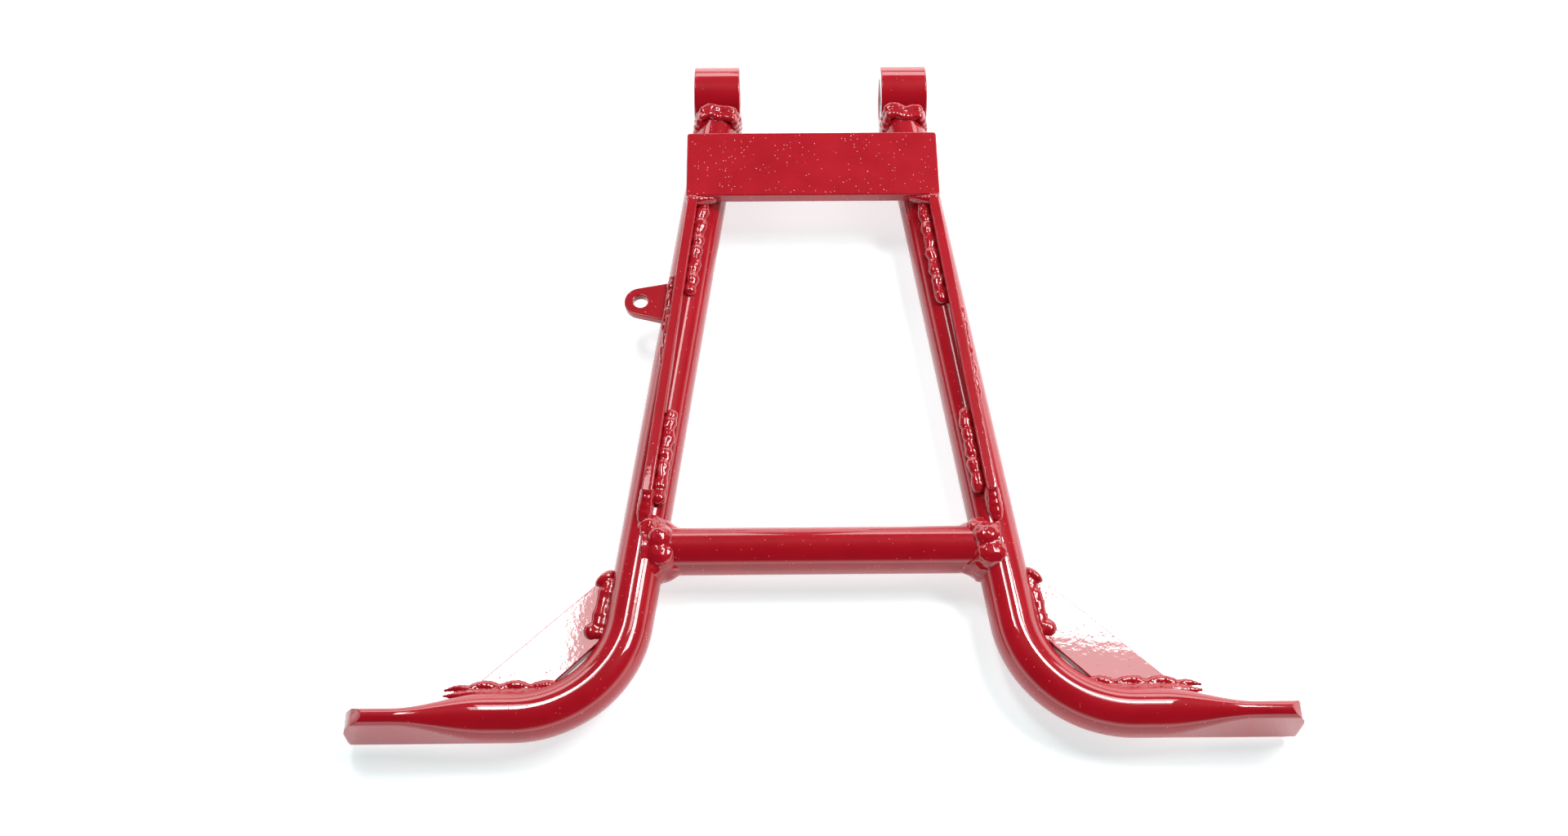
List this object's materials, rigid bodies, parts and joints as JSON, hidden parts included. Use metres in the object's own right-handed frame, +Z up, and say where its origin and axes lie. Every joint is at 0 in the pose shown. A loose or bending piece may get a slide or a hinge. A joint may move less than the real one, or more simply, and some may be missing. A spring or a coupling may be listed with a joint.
{
  "type": "motorcycle centre stand",
  "caption": "Welded tubular motorcycle centre stand: splayed legs bent out into pressed feet, with cross tube, cross plate, ribs, gussets, pivot bosses and a spring tab.",
  "frame": {"origin": "midway between the two pivot bosses, on the pivot axis", "axes": "+X along the pivot axis to the right, +Y away from the feet in the plane of the legs, +Z up out of the ribbed side, as the stand lies on its back"},
  "size_m": [0.419, 0.374, 0.035],
  "materials": {
    "red_powder_coat": "gloss",
    "weld_powder_coat": "gloss over lumpy weld",
    "bush_steel": "satin, oiled"
  },
  "bodies": {
    "root": {"left_leg_tube": "red_powder_coat", "left_foot_plug": "red_powder_coat", "left_pivot_boss": "red_powder_coat", "left_rib": "red_powder_coat", "left_gusset": "red_powder_coat", "left_pivot_bush": "bush_steel", "right_leg_tube": "red_powder_coat", "right_foot_plug": "red_powder_coat", "right_pivot_boss": "red_powder_coat", "right_rib": "red_powder_coat", "right_gusset": "red_powder_coat", "right_pivot_bush": "bush_steel", "lower_cross_tube": "red_powder_coat", "upper_cross_plate": "red_powder_coat", "spring_tab": "red_powder_coat", "left_boss_weld": "weld_powder_coat", "left_cross_weld": "weld_powder_coat", "left_plate_front_weld": "weld_powder_coat", "left_plate_back_weld": "weld_powder_coat", "left_rib_upper_weld": "weld_powder_coat", "left_rib_lower_weld": "weld_powder_coat", "left_rib_outer_weld": "weld_powder_coat", "left_rib_end_weld": "weld_powder_coat", "left_gusset_leg_weld": "weld_powder_coat", "left_gusset_foot_weld": "weld_powder_coat", "right_boss_weld": "weld_powder_coat", "right_cross_weld": "weld_powder_coat", "right_plate_front_weld": "weld_powder_coat", "right_plate_back_weld": "weld_powder_coat", "right_rib_upper_weld": "weld_powder_coat", "right_rib_lower_weld": "weld_powder_coat", "right_rib_outer_weld": "weld_powder_coat", "right_rib_end_weld": "weld_powder_coat", "right_gusset_leg_weld": "weld_powder_coat", "right_gusset_foot_weld": "weld_powder_coat", "spring_tab_weld": "weld_powder_coat"}
  },
  "joints": []
}
